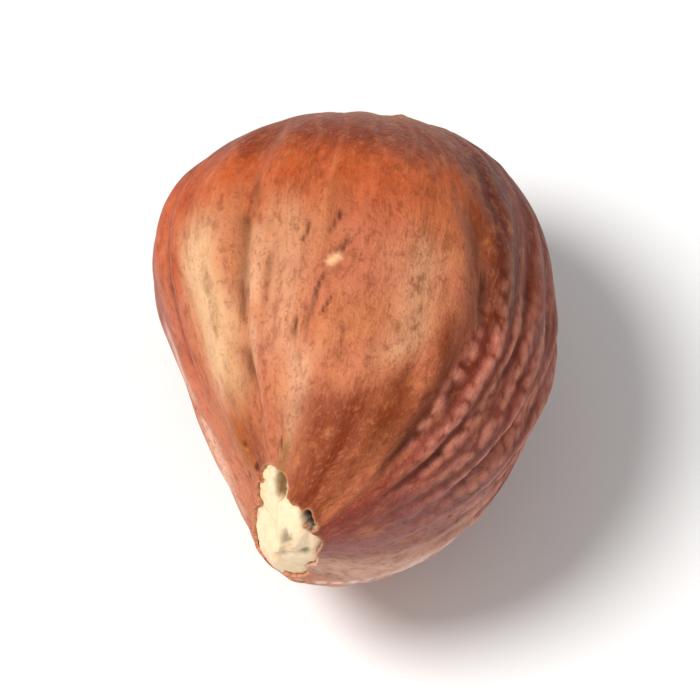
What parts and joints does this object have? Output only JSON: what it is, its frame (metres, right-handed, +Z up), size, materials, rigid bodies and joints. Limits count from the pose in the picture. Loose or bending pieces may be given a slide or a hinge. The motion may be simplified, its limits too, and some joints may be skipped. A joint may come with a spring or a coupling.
{
  "type": "hazelnut kernel",
  "caption": "Shelled hazelnut kernel, teardrop shaped, in a ribbed brown papery skin that has flaked off the tip and shows pale flesh. It lies on its side.",
  "frame": {"origin": "middle of the bounding box's underside, at the height of the small flat spot the kernel lies on", "axes": "+Y along the kernel from its tip to its broad base, +Z up, +X to the right when seen from above with the base away from the viewer"},
  "size_m": [0.013, 0.0168, 0.0118],
  "materials": {
    "brown_skin": "satin, papery",
    "cream_flesh": "matte, waxy"
  },
  "bodies": {
    "root": {"hazelnut_kernel": "brown_skin"}
  },
  "joints": []
}
